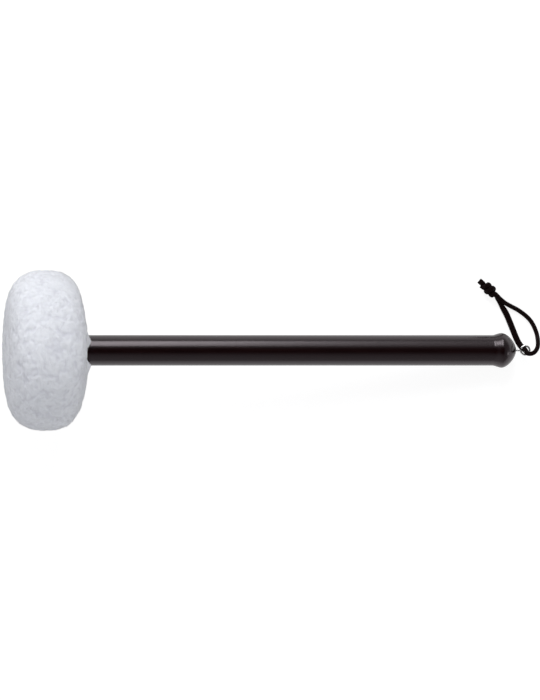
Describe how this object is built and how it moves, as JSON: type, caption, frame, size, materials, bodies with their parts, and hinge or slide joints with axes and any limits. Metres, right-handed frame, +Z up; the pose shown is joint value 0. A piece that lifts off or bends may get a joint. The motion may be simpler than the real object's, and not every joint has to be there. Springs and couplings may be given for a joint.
{
  "type": "gong mallet",
  "caption": "Gong mallet with a weighted, fleece-covered head on a turned black hardwood handle, and a cord wrist loop through a screw eye in its domed butt.",
  "frame": {"origin": "on the table, under the middle of the box round the head, handle and screw eye", "axes": "+X along the mallet from the head to the butt, +Z up from the table it lies on, +Y to the side the wrist loop lies on"},
  "size_m": [0.3914, 0.117, 0.1164],
  "materials": {
    "lacquered_wood": "black lacquer, semi-gloss",
    "bare_wood": "turned, unfinished maple",
    "weight_iron": "blackened",
    "zinc_hardware": "bright zinc plated",
    "nickel_wire": "nickel plated, bright",
    "felt": "pressed wool felt",
    "fleece": "white long-pile fleece",
    "thread": "waxed cotton",
    "cord": "black braided nylon"
  },
  "bodies": {
    "mallet": {"handle": "lacquered_wood", "head_core": "bare_wood", "head_weight": "weight_iron", "core_washer": "zinc_hardware", "core_screw": "zinc_hardware", "felt_front_pad": "felt", "felt_rear_pad": "felt", "felt_band": "felt", "fleece_cover": "fleece", "draw_thread": "thread", "screw_eye": "nickel_wire"},
    "loop": {"wrist_cord": "cord"}
  },
  "joints": [
    {"name": "loop_swivel", "type": "hinge", "parent": "mallet", "child": "loop", "pos_m": [0.18844, 0, 0.0102], "axis": [0, 0, 1], "range_deg": [-120, 25]}
  ]
}
